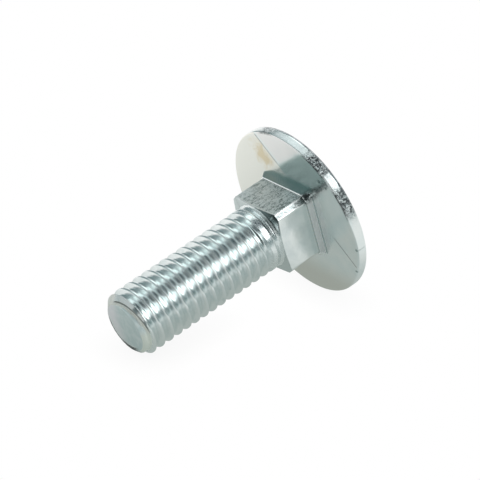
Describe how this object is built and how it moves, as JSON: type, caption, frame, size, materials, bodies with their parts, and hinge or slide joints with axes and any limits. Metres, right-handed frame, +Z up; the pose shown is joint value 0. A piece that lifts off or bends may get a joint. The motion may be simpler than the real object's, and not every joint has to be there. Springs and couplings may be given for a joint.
{
  "type": "carriage bolt",
  "caption": "Carriage bolt with a low mushroom head, a short square neck and a fully threaded shank, lying on its head's rim.",
  "frame": {"origin": "centre of the bounding box in X and Y, at its bottom, so Z = 0 is the surface the bolt lies on", "axes": "+X runs along the bolt towards its head; the thread's end is at -X and lower, because the bolt leans on the rim of its head; +Z is up"},
  "size_m": [0.029, 0.0208, 0.0203],
  "materials": {
    "zinc_plated_steel": "bright bluish zinc plating, glossy with a faint mottle from the forging dies"
  },
  "bodies": {
    "root": {"carriage_bolt": "zinc_plated_steel"}
  },
  "joints": []
}
